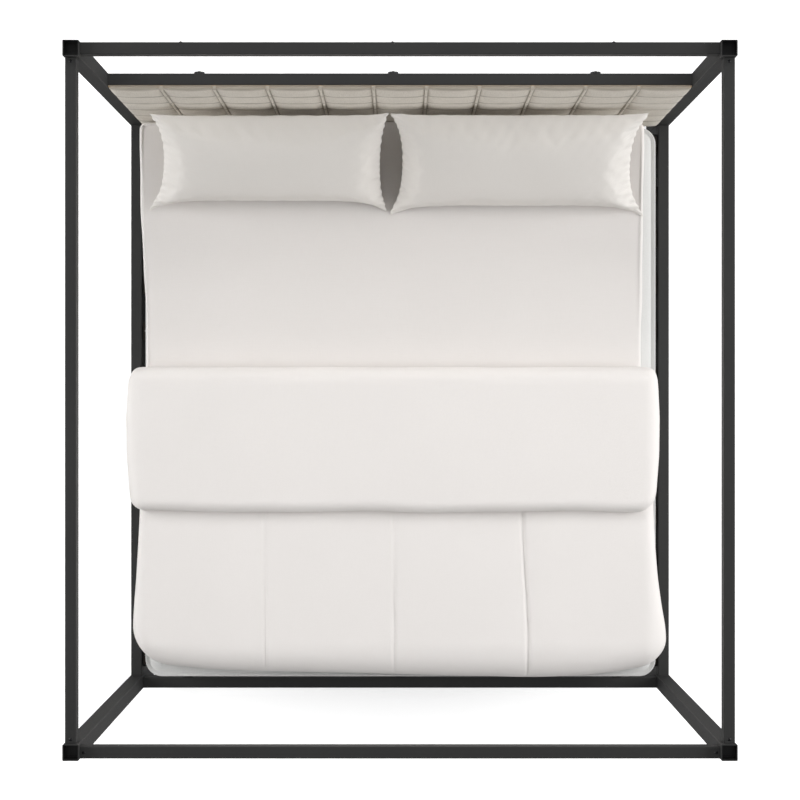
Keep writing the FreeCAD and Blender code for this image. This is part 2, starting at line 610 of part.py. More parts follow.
# ---- build -----------------------------------------------------------------------------
CORNERS = [("left", -1), ("right", 1)]
for side_name, side in CORNERS:
    save("post_head_" + side_name, post(side, 1))
    save("post_foot_" + side_name, post(side, -1))
    save("canopy_rail_" + side_name, canopy_side_rail(side))
    save("side_rail_" + side_name, low_side_rail(side))
save("post_top_plugs", [top_plug(s, e) for s in (-1, 1) for e in (-1, 1)])
save("post_foot_pads", [foot_pad(s, e) for s in (-1, 1) for e in (-1, 1)])
save("canopy_rail_head", canopy_end_rail(1))
save("canopy_rail_foot", canopy_end_rail(-1))
save("canopy_sockets", canopy_sockets())
save("canopy_corner_screws", canopy_corner_screws())
save("canopy_head_bolts", canopy_head_bolts())
save("foot_rail", cross_rail(-FOOT_RAIL_IN, -END_OUT, LOW_TOP, LOW_TALL, CROSS_BOLT_Z))
save("head_rail", cross_rail(HEAD_RAIL_IN, HEAD_RAIL_OUT, LOW_TOP, LOW_TALL, CROSS_BOLT_Z))
stud_holes = [((x, HEAD_RAIL_IN - 10, HEADBOARD_HOLE_Z), Y_AXIS, KNOB_STUD_R + 0.25, 60) for x in FASTENER_X]
save("headboard_rail", cross_rail(HEAD_RAIL_IN, HEAD_RAIL_OUT, HEADBOARD_RAIL_TOP, LOW_WIDE,
                                  (HEADBOARD_HOLE_Z,), stud_holes))
save("rail_bolts", rail_bolts())
save("mattress_bumpers", mattress_bumpers())

save("slat_ledges", [slat_ledge(-1), slat_ledge(1)])
for number, slat_y in enumerate(SLAT_Y, 1):
    save("slat_%02d" % number, slat(slat_y))
save("slat_screws", [slat_screw(side * SLAT_SCREW_X, y) for y in SLAT_Y for side in (-1, 1)])
save("centre_beam", centre_beam())
save("beam_hangers", [beam_hanger(-1), beam_hanger(1)])
for number, leg_y in enumerate(LEG_Y, 1):
    save("centre_leg_%d" % number, centre_leg(leg_y))
    save("leg_glide_%d" % number, leg_glide(leg_y))
save("leg_screws", leg_screws())
save("leg_inserts", [leg_insert(y) for y in LEG_Y])

save("headboard_board", headboard_board())
save("headboard_foam", panel_block(COVER_THICK, FOAM_FRONT, BOARD_FRONT))
save("headboard_cover", headboard_cover())
save("headboard_back_cloth", headboard_back_cloth())
save("headboard_nuts", headboard_nuts())
for number, knob_x in enumerate(FASTENER_X, 1):
    save("headboard_knob_%d" % number, headboard_knob(knob_x))
save("headboard_tabs", [headboard_tab(x) for x in FASTENER_X])
save("headboard_tab_bolts", [headboard_tab_bolt(x) for x in FASTENER_X])

save("mattress", mattress())
save("topper", topper())
save("duvet", duvet())
save("pillow_left", pillow(-915, -42))
save("pillow_right", pillow(-32, 892))
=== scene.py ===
# %% [markdown]
# # A four poster canopy bed
#
# This file dresses a steel four poster bed. The hard parts (posts, rails, slats, bolts) come
# ready made from the frame, and only get a finish here. The soft parts (headboard linen,
# mattress, topper, duvet and pillows) are made here as cloth, and each one takes the place of a
# plain block in the frame. Lengths are in metres, +X is the right hand side seen from the foot,
# +Y points to the head end and +Z is up.

# %% Load the frame
import json
import math

import bmesh
import bpy
import numpy as np
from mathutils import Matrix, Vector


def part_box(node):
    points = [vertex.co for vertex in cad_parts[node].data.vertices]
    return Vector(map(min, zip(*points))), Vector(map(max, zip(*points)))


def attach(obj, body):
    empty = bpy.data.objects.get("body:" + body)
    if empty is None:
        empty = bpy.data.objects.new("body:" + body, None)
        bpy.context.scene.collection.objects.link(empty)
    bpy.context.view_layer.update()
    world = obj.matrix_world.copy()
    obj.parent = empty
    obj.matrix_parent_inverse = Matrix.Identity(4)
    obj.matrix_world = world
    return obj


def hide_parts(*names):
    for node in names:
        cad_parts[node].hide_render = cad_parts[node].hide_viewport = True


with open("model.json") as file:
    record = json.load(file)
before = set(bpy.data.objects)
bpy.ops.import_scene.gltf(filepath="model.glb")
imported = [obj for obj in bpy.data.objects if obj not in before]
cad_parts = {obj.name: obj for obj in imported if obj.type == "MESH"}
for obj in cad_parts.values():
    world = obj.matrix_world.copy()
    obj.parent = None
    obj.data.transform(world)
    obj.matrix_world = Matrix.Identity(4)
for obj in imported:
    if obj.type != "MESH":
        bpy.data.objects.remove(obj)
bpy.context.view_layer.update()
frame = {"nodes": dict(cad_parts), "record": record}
nodes = frame["nodes"]


# %% [markdown]
# ## Reading sizes off the frame
#
# A soft piece has to sit where its plain block sits, so every place is read from the frame
# instead of being typed in. One small helper turns a node's two corners into numpy arrays.

# %% Sizes of the soft parts
def corners(node):
    """The lowest and highest corner of a frame node, as two arrays."""
    low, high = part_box(node)
    return np.array(low), np.array(high)


board_low, board_high = corners("headboard_cover")
mattress_low, mattress_high = corners("mattress")
topper_low, topper_high = corners("topper")
duvet_low, duvet_high = corners("duvet")
print("mattress", mattress_high - mattress_low, "topper top", topper_high[2])


# %% [markdown]
# ## From a grid of points to a mesh
#
# Every soft piece starts as a surface that is worked out as whole arrays. A surface with two
# faces and one sewn border, such as a duvet, is two grids that share their outer points. A
# surface that goes round something, such as a mattress, is a stack of closed rings that ends in
# a lid, or in one point where the last ring has shrunk to nothing. Two helpers cover both cases.

# %% Mesh helpers
SAME_POINT = 5e-6                             # points nearer than this are one point


def add_mesh(name, points, quads, lids=()):
    """A smooth shaded object from an array of points and an array of four sided faces. Points
    that fall on each other are merged, and faces that have no area left are taken away."""
    mesh = bpy.data.meshes.new(name)
    faces = quads.tolist() + [list(lid) for lid in lids]
    mesh.from_pydata(points.reshape(-1, 3).tolist(), [], faces)
    work = bmesh.new()
    work.from_mesh(mesh)
    bmesh.ops.remove_doubles(work, verts=work.verts, dist=SAME_POINT)
    bmesh.ops.dissolve_degenerate(work, edges=work.edges, dist=SAME_POINT)
    work.to_mesh(mesh)
    work.free()
    mesh.shade_smooth()
    mesh.update()
    thing = bpy.data.objects.new(name, mesh)
    bpy.context.scene.collection.objects.link(thing)
    return thing


def grid_quads(index):
    """Four sided faces between the neighbours of a grid of point numbers."""
    corners_of = (index[:-1, :-1], index[1:, :-1], index[1:, 1:], index[:-1, 1:])
    return np.stack([c.ravel() for c in corners_of], axis=1)


def sewn_bag(name, upper, lower):
    """Two grids of points that share one border. The upper one faces up where rows run along
    +X and columns along +Y, and the lower one is turned over."""
    rows, columns = upper.shape[:2]
    top_index = np.arange(rows * columns).reshape(rows, columns)
    inner = np.zeros((rows, columns), bool)
    inner[1:-1, 1:-1] = True
    low_index = top_index.copy()
    low_index[inner] = rows * columns + np.arange(inner.sum())
    points = np.concatenate([upper.reshape(-1, 3), lower[inner]])
    quads = np.concatenate([grid_quads(top_index), grid_quads(low_index)[:, ::-1]])
    return add_mesh(name, points, quads)


def ring_stack(name, rings):
    """A closed skin from rings of points, stacked from the lowest to the highest. The first and
    the last get a flat lid, which merges away where that ring has shrunk to one point. Each ring
    runs anticlockwise seen from above."""
    levels, around = rings.shape[:2]
    index = np.arange(levels * around).reshape(levels, around)
    index = np.concatenate([index, index[:, :1]], axis=1)
    lids = (index[0, :-1][::-1], index[-1, :-1])
    return add_mesh(name, rings, grid_quads(index)[:, ::-1], lids)


# %% [markdown]
# ## Three small shape functions
#
# Padded things share the same few curves: a round edge that starts steeply and levels off, a
# smooth step from one value to another, and a slow unevenness that stops cloth from looking
# machined. Sines with fixed phases give the same unevenness on every run.

# %% Shape functions
def edge_roll(distance, radius, power=2.0):
    """A quarter circle: 0 on the border, 1 from the radius inwards. A power above 2 makes it
    squarer, as on a pad that is stuffed tight."""
    t = np.clip(distance / radius, 0, 1)
    return np.clip(1 - (1 - t) ** power, 0, 1) ** (1 / power)


def step(value, low, high):
    """A smooth step from 0 at low to 1 at high."""
    t = np.clip((value - low) / (high - low), 0, 1)
    return t * t * (3 - 2 * t)


def uneven(x, y, size, seed):
    """Slow ups and downs between about -1 and 1: five sines in spread directions."""
    total = 0
    for k in range(5):
        turn = seed * 1.7 + k * 1.2566
        pitch = 2 * math.pi / (size * (0.7 + 0.17 * k))
        total = total + np.sin(pitch * (x * math.cos(turn) + y * math.sin(turn)) + seed + 2.1 * k)
    return total / 3


def close_at_ends(low, high, count, reach):
    """Positions from low to high that crowd together within reach of both ends."""
    edge = reach * (1 - np.cos(np.linspace(0, math.pi / 2, 12)))
    middle = np.linspace(low + reach, high - reach, count - 22)
    return np.concatenate([low + edge, middle[1:-1], high - edge[::-1]])


# %% [markdown]
# ## Writing shader maths as plain expressions
#
# A procedural finish is a small sum: so much grain, so much fine dust, a little more shine on
# the worn spots. Wiring that by hand hides the idea, so this class wraps one output of a node
# and gives it the usual signs. An expression on such values adds the Math nodes by itself.

# %% The shader expression class
class Value:
    """One output of a node. Signs between values or numbers add Math nodes."""

    def __init__(self, tree, output=None):
        self.tree = tree
        self.output = output

    def node(self, kind, settings=None, inputs=None, out=0):
        """Add a node: first its settings, then its inputs, which are numbers or values."""
        made = self.tree.nodes.new(kind)
        for key, setting in (settings or {}).items():
            setattr(made, key, setting)
        for key, given in (inputs or {}).items():
            if isinstance(given, Value):
                self.tree.links.new(given.output, made.inputs[key])
            else:
                made.inputs[key].default_value = given
        return Value(self.tree, made.outputs[out] if made.outputs else None)

    def math(self, operation, first, second=0.0):
        return self.node("ShaderNodeMath", {"operation": operation}, {0: first, 1: second})

    def __add__(self, other):
        return self.math("ADD", self, other)

    def __sub__(self, other):
        return self.math("SUBTRACT", self, other)

    def __mul__(self, other):
        return self.math("MULTIPLY", self, other)

    def __radd__(self, other):
        return self.math("ADD", other, self)

    def __rsub__(self, other):
        return self.math("SUBTRACT", other, self)

    def __rmul__(self, other):
        return self.math("MULTIPLY", other, self)

    def raised(self, power):
        return self.math("POWER", self, power)

    def sine(self):
        return self.math("SINE", self)

    def size(self):
        return self.math("ABSOLUTE", self)

    def from_line(self, first, pitch):
        """Distance to the nearest of many lines that are a pitch apart."""
        share = self.math("FRACT", (self - first) * (1 / pitch) + 0.5)
        return (share - 0.5).size() * pitch

    def between(self, low, high):
        """0 below low, 1 above high, and a straight line between."""
        return self.node("ShaderNodeMapRange", {"clamp": True}, {0: self, 1: low, 2: high})

    def blend(self, first, second):
        """A colour between two colours, by this value."""
        return self.node("ShaderNodeMix", {"data_type": "RGBA"}, {0: self, 6: first, 7: second}, out=2)

    def noise(self, place, scale, detail=3.0, stretch=(1, 1, 1)):
        """Soft random spots, so many to the metre, drawn out where stretch is small."""
        spot = self.node("ShaderNodeMapping", {}, {"Vector": place, "Scale": stretch})
        return self.node("ShaderNodeTexNoise", {}, {"Vector": spot, "Scale": scale, "Detail": detail})


def linear(red, green, blue):
    """A colour given as screen levels from 0 to 255, as the light levels a shader needs."""
    levels = np.array([red, green, blue]) / 255
    return (*np.where(levels <= 0.04045, levels / 12.92, ((levels + 0.055) / 1.055) ** 2.4), 1.0)


def start_finish(name):
    """A new material, an empty value in its tree, and the place on the object in metres."""
    material = bpy.data.materials.new(name)
    material.use_nodes = True
    material.node_tree.nodes.clear()
    start = Value(material.node_tree)
    place = start.node("ShaderNodeTexCoord", out=3)
    return material, start, place


def end_finish(material, colour, roughness, height=None, depth=0.001, **fixed):
    """Close a material: colour and roughness vary, height becomes a bump, the rest is fixed."""
    tree = material.node_tree
    start = Value(tree)
    inputs = {"Base Color": colour, "Roughness": roughness}
    inputs.update({key.replace("_", " "): given for key, given in fixed.items()})
    if height is not None:
        inputs["Normal"] = start.node("ShaderNodeBump", {}, {"Height": height, "Distance": depth})
    shader = start.node("ShaderNodeBsdfPrincipled", {}, inputs)
    start.node("ShaderNodeOutputMaterial", {}, {"Surface": shader})
    print("finish:", material.name, len(tree.nodes), "nodes")
    return material


def axes_of(place):
    """The x, y and z of a place, as three values."""
    return [place.node("ShaderNodeSeparateXYZ", {}, {0: place}, out=k) for k in range(3)]


# %% [markdown]
# ## Powder coated steel
#
# The whole frame is steel tube with a baked, matt charcoal powder coat. Real powder coat is
# never quite even: it has a fine orange peel, a slightly different shine from patch to patch
# and a little pale dust. Two noises of different size carry that.

# %% Steel, fastener and plastic finishes
def powder_coat(name, dark, light):
    """Colour is 0.7 of a slow patch noise plus 0.3 of the dust, which is the top of a finer
    noise. Roughness adds the same two, and the peel noise is the bump."""
    material, start, place = start_finish(name)
    peel = start.noise(place, 620, 2.0)
    patch = start.noise(place, 3.2, 4.0)
    dust = start.noise(place, 95, 5.0).between(0.55, 0.8)
    colour = (patch * 0.7 + dust * 0.3).blend(dark, light)
    return end_finish(material, colour, 0.5 + patch * 0.14 + dust * 0.06, peel, 0.0002,
                      Specular_IOR_Level=0.28)


def turned_metal(name, dark, light, roughness, metallic):
    """One wear noise sets both colour and roughness, and a noise drawn out along Z is the bump."""
    material, start, place = start_finish(name)
    wear = start.noise(place, 240, 4.0)
    scratch = start.noise(place, 900, 2.0, stretch=(1, 1, 0.15))
    return end_finish(material, wear.blend(dark, light), roughness + wear * 0.2, scratch, 0.0001,
                      Metallic=metallic)


def moulded(name, dark, light, roughness, grain=1400):
    """Small rounded cells give the grain and part of the roughness, and a cloud the colour."""
    material, start, place = start_finish(name)
    leather = start.node("ShaderNodeTexVoronoi", {"feature": "SMOOTH_F1"},
                         {"Vector": place, "Scale": grain})
    cloud = start.noise(place, 40, 3.0)
    return end_finish(material, cloud.blend(dark, light), roughness + leather * 0.12, leather, 0.0001)


finishes = {
    "frame_paint": powder_coat("charcoal_powder_coat", linear(46, 46, 46), linear(58, 58, 57)),
    "fastener_black": turned_metal("black_oxide_bolts", linear(22, 22, 23), linear(44, 44, 46),
                                   0.3, 0.7),
    "zinc_steel": turned_metal("zinc_plated_screws", linear(150, 150, 152), linear(190, 188, 180),
                               0.28, 1.0),
    "black_plastic": moulded("black_plastic", linear(18, 18, 19), linear(32, 32, 33), 0.42),
    "rubber": moulded("black_rubber", linear(16, 16, 16), linear(30, 30, 30), 0.68, 2600),
}


# %% [markdown]
# ## Wood, plywood and foam
#
# The slats are laminated wood with a nearly black stain: long grain along the slat, with thin
# glue lines on the edges. Grain is a noise that is drawn out along one axis. The glue lines are
# a sine of the height, kept to narrow dark stripes by a high power.

# %% Wood and foam finishes
def laminate(name, pale, dark, along, ply):
    """Fine grain, broad figure and glue lines add up to the tone. A glue line is where the size
    of the sine of pi times the depth over one ply, raised to the power 24, is near 1."""
    material, start, place = start_finish(name)
    x, y, z = axes_of(place)
    thin = {"x": (0.06, 1, 1), "y": (1, 0.06, 1), "z": (1, 1, 0.06)}[along]
    grain = start.noise(place, 130, 6.0, stretch=thin)
    figure = start.noise(place, 9, 3.0, stretch=thin)
    across = {"x": z, "y": x, "z": y}[along]
    glue = ((across * (math.pi / ply)).sine().size()).raised(24)
    tone = grain * 0.55 + figure * 0.35 + glue * 0.25
    return end_finish(material, tone.blend(pale, dark), 0.5 + grain * 0.15, grain, 0.0003)


def open_foam(name, pale, dark):
    """Small cells and a slow cloud share the tone, and the cells are the bump."""
    material, start, place = start_finish(name)
    cells = start.node("ShaderNodeTexVoronoi", {}, {"Vector": place, "Scale": 700})
    cloud = start.noise(place, 14, 3.0)
    tone = cells * 0.4 + cloud * 0.4
    return end_finish(material, tone.blend(pale, dark), 0.9 + cells * 0.05, cells, 0.0006)


SLAT_PLY, PANEL_PLY = 0.0015, 0.0012          # thickness of one layer of veneer
finishes["slat_wood"] = laminate("stained_slats", linear(62, 52, 45), linear(34, 28, 24), "x", SLAT_PLY)
finishes["plywood"] = laminate("poplar_plywood", linear(205, 180, 144), linear(150, 118, 82), "x",
                               PANEL_PLY)
finishes["foam"] = open_foam("cream_foam", linear(232, 220, 190), linear(196, 180, 146))


# %% [markdown]
# ## Woven cloth
#
# Every cloth here is a plain weave, so one recipe makes them all. Threads along each axis are
# sines, and where the product of two of them is high a thread passes on top. Slubs, the thick
# spots of a spun thread, are noises drawn out along the threads. The pitch of the weave and the
# strength of the slubs tell linen from cotton.

# %% Cloth finishes
def woven(name, pale, dark, pitch, slub, rough, sheen, plane="xy", mottle=0.25, seams=None):
    """Threads are the sine of one axis times the sine of the other, pitch apart. The tone is
    slubs, cloud and threads added up, and the bump is threads, slubs and fuzz. Seams, where
    given, is a function of x and z that says where painted shade darkens the colour beside the
    stitched lines."""
    material, start, place = start_finish(name)
    x, y, z = axes_of(place)
    warp, weft = (x, y) if plane == "xy" else (x, z)
    turn = math.pi / pitch
    threads = (warp * turn).sine() * (weft * turn).sine()
    along_warp = (1, 0.05, 0.05) if plane == "xy" else (1, 1, 0.05)
    along_weft = (0.05, 1, 1) if plane == "xy" else (0.05, 1, 1)
    slubs = (start.noise(place, 420, 2.0, stretch=along_warp)
             + start.noise(place, 420, 2.0, stretch=along_weft))
    cloud = start.noise(place, 6, 4.0)
    fuzz = start.noise(place, 1500, 2.0)
    tone = (slubs - 1) * slub + cloud * mottle + threads * 0.1
    colour = tone.blend(pale, dark)
    # painted shade: beside the stitched lines the colour is blended towards a darker linen, where shade
    # would fall in the folds
    if seams is not None:
        colour = seams(x, z).blend(colour, PAINTED_SEAM_SHADE)
    height = threads * 0.5 + slubs * slub + fuzz * 0.25
    return end_finish(material, colour, rough + fuzz * 0.1, height, pitch * 0.25,
                      Sheen_Weight=sheen, Sheen_Roughness=0.45, Specular_IOR_Level=0.25)


PAINTED_SEAM_SHADE = linear(126, 116, 101)            # painted shade: the darker linen colour put beside each stitched line, where shade falls in the folds
LINEN_LOOK = {"pale": linear(237, 230, 218), "dark": linear(197, 188, 173), "pitch": 0.0011,
              "slub": 0.9, "rough": 0.82, "sheen": 0.12, "plane": "xz", "mottle": 0.3}
finishes["linen"] = woven("oatmeal_linen", **LINEN_LOOK)
finishes["black_cloth"] = woven("black_lining", linear(24, 24, 25), linear(12, 12, 12), 0.0016,
                                0.4, 0.88, 0.05, "xz")
finishes["mattress_ticking"] = woven("mattress_ticking", linear(226, 226, 224),
                                     linear(198, 198, 196), 0.0009, 0.4, 0.8, 0.1)
finishes["topper_cotton"] = woven("topper_cotton", linear(230, 226, 223),
                                  linear(212, 207, 203), 0.0006, 0.2, 0.84, 0.12, mottle=0.15)
finishes["duvet_cotton"] = woven("duvet_cotton", linear(238, 234, 231),
                                 linear(223, 218, 214), 0.0005, 0.15,
                                 0.82, 0.16, mottle=0.12)
finishes["pillow_cotton"] = woven("pillow_cotton", linear(235, 231, 226),
                                  linear(219, 215, 209), 0.0005, 0.15, 0.82, 0.16, mottle=0.12)


# %% [markdown]
# ## Dressing the hard parts
#
# The frame's record says which slot each node takes its finish from. Each node that stays gets
# the finish of its slot.

# %% Give each frame node its finish
slot_of = {part["node"]: part["material_slot"] for part in frame["record"]["subparts"]}
for node_name, node in nodes.items():
    for place_index in range(max(len(node.material_slots), 1)):
        if not node.material_slots:
            node.data.materials.append(None)
        node.material_slots[place_index].material = finishes[slot_of[node_name]]
print("dressed", len(nodes), "nodes in", len(finishes), "finishes")


def dress(thing, slot, body, *replaced):
    """Give a new piece its finish and its body, and hide the frame nodes that it stands for."""
    thing.data.materials.append(finishes[slot])
    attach(thing, body)
    if replaced:
        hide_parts(*replaced)
    thing.data.calc_loop_triangles()
    print(thing.name, len(thing.data.loop_triangles), "triangles")
    return thing


# %% [markdown]
# ## The headboard's linen
#
# The headboard is a thin board with foam under linen, stitched through in a grid. Up each
# column line runs a narrow raised strip between two rows of stitches, and each row line is one
# stitched valley. Between the lines the foam pushes the linen out into a soft square cushion.
# The front is a height above the seam plane that depends only on how far a point is from the
# nearest lines, so it can be worked out for the whole sheet at once. The sheet turns back over
# all four edges and a few centimetres behind the board, and closes inside the plywood. The finish
# paints shade along the same lines: the linen is darker beside each column strip and just under
# each row line, standing in for the shade that falls in the folds.

# %% Headboard: grid lines and relief
COLUMNS, ROWS = 11, 6
STRIP_HALF = 0.0062
half_wide = (board_high[0] - board_low[0]) / 2
cell_wide = 2 * half_wide / COLUMNS
cell_tall = (board_high[2] - board_low[2]) / ROWS


def from_line(value, low, pitch):
    """How far each value is from the nearest grid line."""
    part = (value - low) / pitch
    return np.abs(part - np.round(part)) * pitch


def board_relief(x, z):
    """Height of the linen in front of the seams: a crown that rises within a few centimetres of
    its four lines, plus the half round strip that covers each inner column line."""
    across = from_line(x, board_low[0], cell_wide)
    up = from_line(z, board_low[2], cell_tall)
    inner = np.minimum(x - board_low[0], board_high[0] - x) > cell_wide / 2
    away = np.where(inner, np.clip(across - STRIP_HALF, 0, 1), across)
    crown_x = (1 - np.exp(-away / 0.009)) * (0.62 + 0.38 * (1 - (1 - np.clip(away / 0.083, 0, 1)) ** 2.2))
    valley = 1 - np.exp(-up / 0.0055)
    crown_z = valley * (0.42 + 0.58 * (1 - (1 - np.clip(up / (cell_tall / 2), 0, 1)) ** 2.3))
    crown = 0.0118 * crown_x * crown_z
    crown = crown + 0.0009 * uneven(x, z, 0.10, 3.0) * crown_x * crown_z
    roll = 0.0050 * np.sqrt(np.clip(1 - (across / STRIP_HALF) ** 2, 0, 1))
    return crown + np.where(inner, roll, 0)


def line_spaced(low, count, pitch, away):
    """Grid positions that crowd near each line: the given distances on both sides of it."""
    lines = low + pitch * np.arange(count + 1)
    spread = np.concatenate([-away[::-1], [0], away])
    places = (lines[:, None] + spread[None, :]).ravel()
    return np.unique(np.round(places[(places >= low - 1e-9) & (places <= lines[-1] + 1e-9)], 6))


beside_strip = np.array([1.6, 3.2, 4.6, 5.6, 6.2, 7.4, 9.5, 13, 19, 28, 40, 56, 72]) / 1000
beside_row = np.array([1.2, 2.6, 4.5, 7.5, 12, 18, 26, 36, 48, 62]) / 1000
board_x = line_spaced(board_low[0], COLUMNS, cell_wide, beside_strip)
board_z = line_spaced(board_low[2], ROWS, cell_tall, beside_row)
print("headboard grid", len(board_x), "by", len(board_z), "cell", cell_wide, cell_tall)


def painted_seam_shade(x, z):
    """How much painted shade darkens the linen beside its stitches: both sides of every column strip,
    and just under every row line, which sags a little between two strips."""
    column = x.from_line(float(board_low[0]), cell_wide)
    sag = (column * (2 / cell_wide)).between(0, 1) * 0.004
    row = (z + sag).from_line(float(board_low[2]), cell_tall)
    beside = 1 - (column - STRIP_HALF).size().between(0.0006, 0.0030)
    under = 1 - row.between(0.0025, 0.0120)
    return beside.math("MAXIMUM", beside * 0.55, under * 0.62)


# the headboard's linen again, with painted shade beside its stitched lines
finishes["linen"] = woven("stitched_linen_painted_shade", seams=painted_seam_shade, **LINEN_LOOK)


# %% Headboard: the sheet and its turned back edge
SEAM_BACK = 0.0065            # the seams lie this far behind the block's front
EDGE_ROUND = 0.011
RETURN_WIDE = 0.038


def board_front():
    """Front of the linen: x and z from the grid, y from the relief, rolled back at the border."""
    x, z = np.meshgrid(board_x, board_z, indexing="ij")
    side = np.minimum(x - board_low[0], board_high[0] - x)
    end = np.minimum(z - board_low[2], board_high[2] - z)
    roll = EDGE_ROUND * (2 - edge_roll(side, EDGE_ROUND) - edge_roll(end, EDGE_ROUND))
    y = board_low[1] + SEAM_BACK - board_relief(x, z) + np.minimum(roll, EDGE_ROUND)
    return np.stack([x, y, z], axis=-1)


def board_linen():
    """The front sheet, then bands of points that go back round the border and in behind."""
    front = board_front()
    border = np.concatenate([front[:-1, 0], front[-1, :-1], front[:0:-1, -1], front[0, :0:-1]])
    middle = (board_low + board_high) / 2
    drop = [(0, board_high[1] - 0.003), (0.003, board_high[1]), (RETURN_WIDE - 0.002, board_high[1]),
            (RETURN_WIDE, board_high[1] - 0.001), (RETURN_WIDE, board_high[1] - 0.004)]
    bands = []
    for inset, y in drop:
        band = border.copy()
        band[:, 0] = middle[0] + np.clip(border[:, 0] - middle[0], -half_wide + inset, half_wide - inset)
        tall = (board_high[2] - board_low[2]) / 2
        band[:, 2] = middle[2] + np.clip(border[:, 2] - middle[2], -tall + inset, tall - inset)
        band[:, 1] = y
        bands.append(band)
    wide, high = front.shape[:2]
    index = np.arange(wide * high).reshape(wide, high)
    edge = np.concatenate([index[:-1, 0], index[-1, :-1], index[:0:-1, -1], index[0, :0:-1]])
    rings = [edge] + [wide * high + k * len(edge) + np.arange(len(edge)) for k in range(len(drop))]
    wrap = np.stack(rings)
    wrap = np.concatenate([wrap, wrap[:, :1]], axis=1)
    points = np.concatenate([front.reshape(-1, 3)] + bands)
    return add_mesh("headboard_linen", points, np.concatenate([grid_quads(index), grid_quads(wrap)]),
                    [rings[-1][::-1]])


headboard_linen = dress(board_linen(), "linen", "frame", "headboard_cover", "headboard_foam")


# %% [markdown]
# ## The mattress
#
# A mattress is a flat box of quilted cloth: a top and a bottom panel, a border between them and
# a taped cord where they meet. It is made as one stack of rings. Each ring is the rounded
# rectangle of the plan, pulled in or pushed out by a profile that runs up the border, over the
# cord and in across the top. The border bulges a little between its rows of quilting.

# %% Mattress: plan outline and profile
def plan_outline(low, high, radius, count):
    """Points round a rectangle with round corners, anticlockwise, and their outward directions.
    Each corner is a quarter circle, and each side gets points by its length."""
    centre_x = np.array([high[0] - radius, low[0] + radius, low[0] + radius, high[0] - radius])
    centre_y = np.array([high[1] - radius, high[1] - radius, low[1] + radius, low[1] + radius])
    turn = np.concatenate([np.linspace(k * math.pi / 2, (k + 1) * math.pi / 2, 13) for k in range(4)])
    corner = np.repeat(np.arange(4), 13)
    x = centre_x[corner] + radius * np.cos(turn)
    y = centre_y[corner] + radius * np.sin(turn)
    x, y, turn = (np.append(v, v[0] + extra) for v, extra in ((x, 0), (y, 0), (turn, 2 * math.pi)))
    run = np.concatenate([[0], np.cumsum(np.hypot(np.diff(x), np.diff(y)))])
    at = np.unique(np.concatenate([run[:-1], np.linspace(0, run[-1], count, endpoint=False)]))
    x, y, turn = np.interp(at, run, x), np.interp(at, run, y), np.interp(at, run, turn)
    return x, y, np.cos(turn), np.sin(turn), at


BORDER_INSET = 0.006                          # the plan line lies this far inside the block
QUILT_ROWS = 3                                # rows of quilting round the border
WALL_FOOT, WALL_HEAD = 0.016, 0.028           # what the two cords take from the border's height


def mattress_rings():
    """Rings from the middle of the underside, out, up the border and in over the top. The border
    bulges as the size of a sine with one half wave to each row of quilting."""
    low, high = mattress_low, mattress_high
    x, y, out_x, out_y, run = plan_outline(low[:2] + BORDER_INSET, high[:2] - BORDER_INSET, 0.055, 560)
    tall = high[2] - low[2]
    cord = np.linspace(-0.5, 0.75, 7) * math.pi
    wall = np.linspace(WALL_FOOT, tall - WALL_HEAD, 34)
    row_tall = (tall - WALL_FOOT - WALL_HEAD) / QUILT_ROWS
    puff = 0.0042 * np.abs(np.sin(math.pi * (wall - WALL_FOOT) / row_tall)) ** 0.7
    low_cord = [(0.004 * math.cos(a) + 0.002, 0.007 + 0.006 * math.sin(a)) for a in cord]
    high_cord = [(push, tall - 0.012 - lift) for push, lift in low_cord[::-1]]
    top = [(-0.006, tall - 0.020), (-0.014, tall - 0.0145), (-0.028, tall - 0.010),
           (-0.048, tall - 0.006), (-0.075, tall - 0.0025), (-0.11, tall - 0.0005)]
    bottom = [(-0.05, 0.001), (-0.02, 0.004), (-0.006, 0.009)]
    profile = bottom + low_cord + [(p - 0.004, h) for p, h in zip(puff, wall)] + high_cord + top
    centre = (low + high) / 2
    rings = []
    for push, lift in profile:
        level = np.full_like(x, low[2] + lift)
        wave = 0.0022 * np.sin(run * 2 * math.pi / 0.085)
        wave = wave * step(lift, 0.02, 0.05) * step(tall - lift, 0.02, 0.05)
        rings.append(np.stack([x + out_x * (push + wave), y + out_y * (push + wave), level], axis=-1))
    for k in (0.86, 0.6, 0.3, 0.0):
        for end, lift in ((0, low[2]), (-1, high[2])):
            ring = rings[end].copy()
            ring[:, :2] = centre[:2] + (rings[end][:, :2] - centre[:2]) * k
            ring[:, 2] = lift
            rings = [ring] + rings if end == 0 else rings + [ring]
    return np.stack(rings)


mattress = dress(ring_stack("mattress_quilted", mattress_rings()), "mattress_ticking", "bedding",
                 "mattress")


# %% [markdown]
# ## The topper
#
# On the mattress lies a thin padded topper in a smooth cotton cover. Its left edge laps over the
# mattress, and its right edge stops short, which leaves a strip of the mattress bare. It narrows
# a little towards the foot, as a soft layer does that has been pushed about. Its top is a very
# little uneven.

# %% Topper: outline, profile and unevenness
TOPPER_SHORTER = 0.968                        # its foot end has crept up under the duvet


